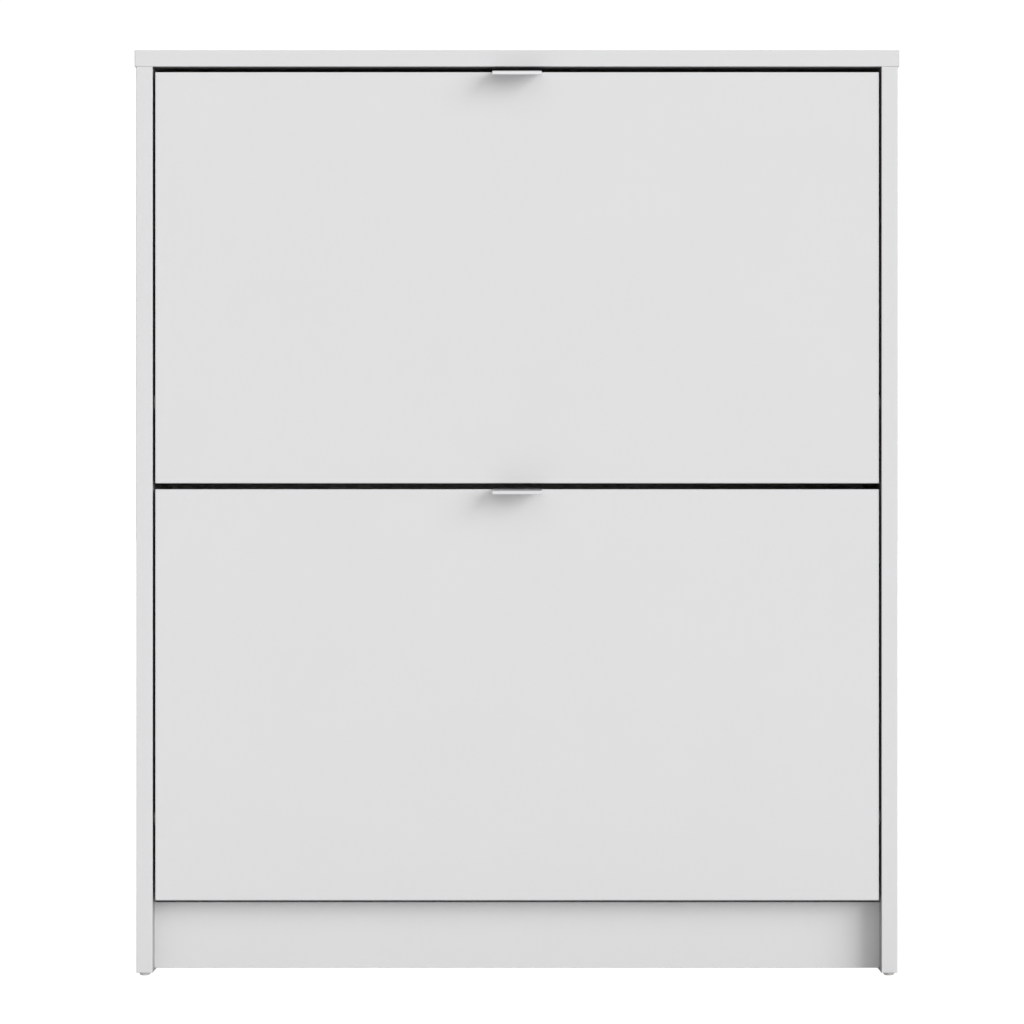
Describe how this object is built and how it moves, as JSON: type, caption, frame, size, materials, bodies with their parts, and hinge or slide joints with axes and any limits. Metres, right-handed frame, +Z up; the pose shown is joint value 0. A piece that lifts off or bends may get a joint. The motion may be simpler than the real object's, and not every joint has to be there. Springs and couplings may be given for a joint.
{
  "type": "shoe cabinet",
  "caption": "Slim floor-standing shoe cabinet with tilt-out flaps, each carrying a rack that holds a front and a rear row of shoes.",
  "frame": {"origin": "on the floor, at the middle of the bounding box seen from above", "axes": "+X to the viewer's right when facing the flaps, +Y to the wall behind, +Z up; the flaps face -Y"},
  "size_m": [0.703, 0.268, 0.851],
  "materials": {
    "faced_board": "chipboard faced and edged in white melamine, fine satin texture",
    "hardboard": "3 mm hardboard, painted white on the inner face",
    "black_plastic": "moulded, fine spark-eroded texture",
    "white_plastic": "extruded or moulded, smooth",
    "grey_plastic": "moulded, smooth",
    "aluminium": "brushed and anodised",
    "zinc": "die-cast zinc",
    "steel": "bright zinc-plated steel",
    "beech": "plain turned beech",
    "rubber": "matt"
  },
  "bodies": {
    "carcass": {"top_panel": "faced_board", "side_panel_left": "faced_board", "side_panel_right": "faced_board", "plinth": "faced_board", "base_board": "faced_board", "top_rail": "faced_board", "middle_rail": "faced_board", "back_panel_upper": "hardboard", "back_panel_lower": "hardboard", "back_joint_strip": "white_plastic", "cam_locks": "zinc", "cam_bolts": "steel", "dowels": "beech", "back_panel_nails": "steel", "glides": "grey_plastic", "pivot_pins": "steel", "pivot_washers": "white_plastic", "stop_pins": "steel", "stop_sleeves": "rubber"},
    "upper_flap": {"upper_flap_front": "faced_board", "upper_handle": "aluminium", "upper_handle_screws": "steel", "upper_bracket_screws": "steel", "upper_bracket_left": "black_plastic", "upper_bracket_right": "black_plastic", "upper_front_shelf": "hardboard", "upper_divider": "hardboard", "upper_rear_shelf": "hardboard", "upper_rear_board": "hardboard"},
    "lower_flap": {"lower_flap_front": "faced_board", "lower_handle": "aluminium", "lower_handle_screws": "steel", "lower_bracket_screws": "steel", "lower_bracket_left": "black_plastic", "lower_bracket_right": "black_plastic", "lower_front_shelf": "hardboard", "lower_divider": "hardboard", "lower_rear_shelf": "hardboard", "lower_rear_board": "hardboard"}
  },
  "joints": [
    {"name": "upper_flap_tilt", "type": "hinge", "parent": "carcass", "child": "upper_flap", "pos_m": [0, -0.086, 0.528], "axis": [1, 0, 0], "range_deg": [0, 40]},
    {"name": "lower_flap_tilt", "type": "hinge", "parent": "carcass", "child": "lower_flap", "pos_m": [0, -0.086, 0.1445], "axis": [1, 0, 0], "range_deg": [0, 40]}
  ]
}
